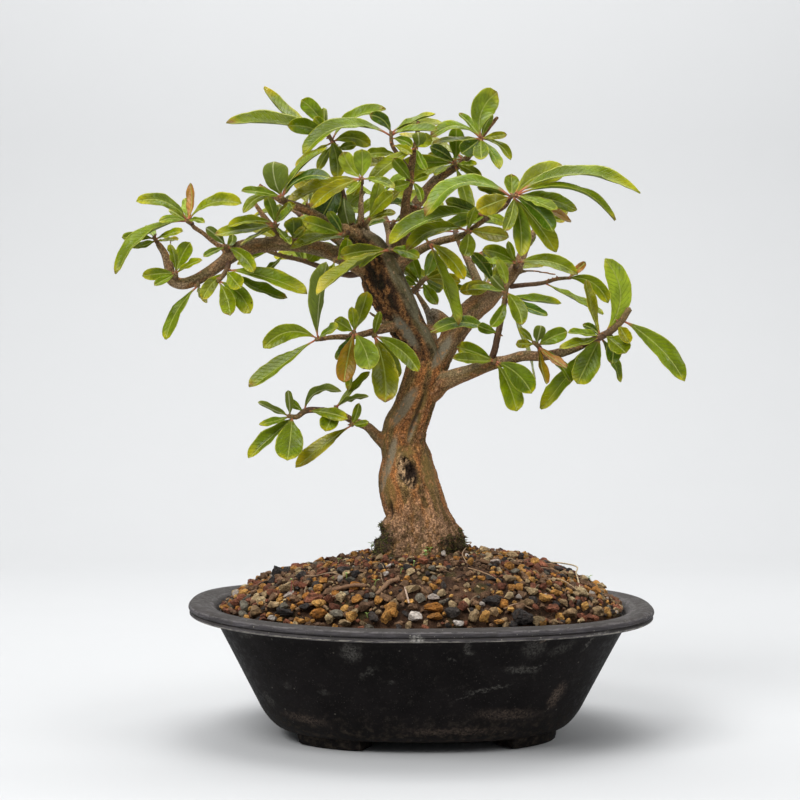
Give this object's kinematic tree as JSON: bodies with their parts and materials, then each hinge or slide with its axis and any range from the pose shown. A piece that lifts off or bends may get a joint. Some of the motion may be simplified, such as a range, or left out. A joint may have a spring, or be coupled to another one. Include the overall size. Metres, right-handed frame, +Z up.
{
  "type": "pomegranate bonsai",
  "caption": "Small pomegranate tree with a sawn, forked trunk and narrow-leaved sprays, rooted in a gravel mound in an oval training pot on low feet.",
  "frame": {"origin": "middle of the footprint of the whole plant and pot, on the surface it stands on", "axes": "+Z up along the trunk, +X to the right and +Y to the back as the front is seen, the pot's long side along X"},
  "size_m": [0.2804, 0.182, 0.3266],
  "materials": {
    "pot_plastic": "near-black moulded plastic, matte, scuffed and dusty on the rim",
    "gravel_soil": "fine mixed gravel over dark earth: ochre, red-brown, grey and tan grains, dull",
    "bark": "rough grey-brown bark, reddish and flaky above, with pale bare wood at the cuts",
    "foliage": "smooth, slightly glossy green leaves, some turning yellow, paler below"
  },
  "bodies": {
    "root": {"back_left_end": "foliage", "back_left_high": "foliage", "back_left_low": "foliage", "back_low_end": "foliage", "back_middle_end": "foliage", "back_middle_high": "foliage", "back_middle_low": "foliage", "back_right_end": "foliage", "back_right_high": "foliage", "back_right_low": "foliage", "behind_big_left": "foliage", "behind_branch_a": "foliage", "behind_branch_b": "foliage", "behind_left_upper": "foliage", "behind_stump": "foliage", "big_left_top": "foliage", "branch_a_leaves": "foliage", "branch_a_low": "foliage", "branch_b_low": "foliage", "branch_b_tip": "foliage", "branch_c_mid": "foliage", "branch_c_start": "foliage", "branch_c_tip": "foliage", "branch_c_upper": "foliage", "crown_left": "foliage", "crown_mid": "foliage", "crown_right_mid": "foliage", "far_left_drop": "foliage", "far_left_elbow": "foliage", "far_left_fork": "foliage", "far_left_tip": "foliage", "far_left_top": "foliage", "far_left_under": "foliage", "fork_back": "foliage", "left_low_base": "foliage", "left_low_mid": "foliage", "left_low_tip": "foliage", "left_mid_inner": "foliage", "left_mid_tip": "foliage", "left_mid_whorl": "foliage", "left_middle_root": "foliage", "left_middle_whorl": "foliage", "left_upper_tip": "foliage", "pot": "pot_plastic", "right_end": "foliage", "right_leader_low": "foliage", "right_leader_mid": "foliage", "right_leader_top": "foliage", "right_low_mid": "foliage", "right_low_start": "foliage", "soil": "gravel_soil", "stump_left": "foliage", "stump_top": "foliage", "stump_twig_whorl": "foliage", "thin_left": "foliage", "thin_right": "foliage", "twig_u": "foliage", "twin_limb_whorl": "foliage", "wood": "bark"}
  },
  "joints": []
}
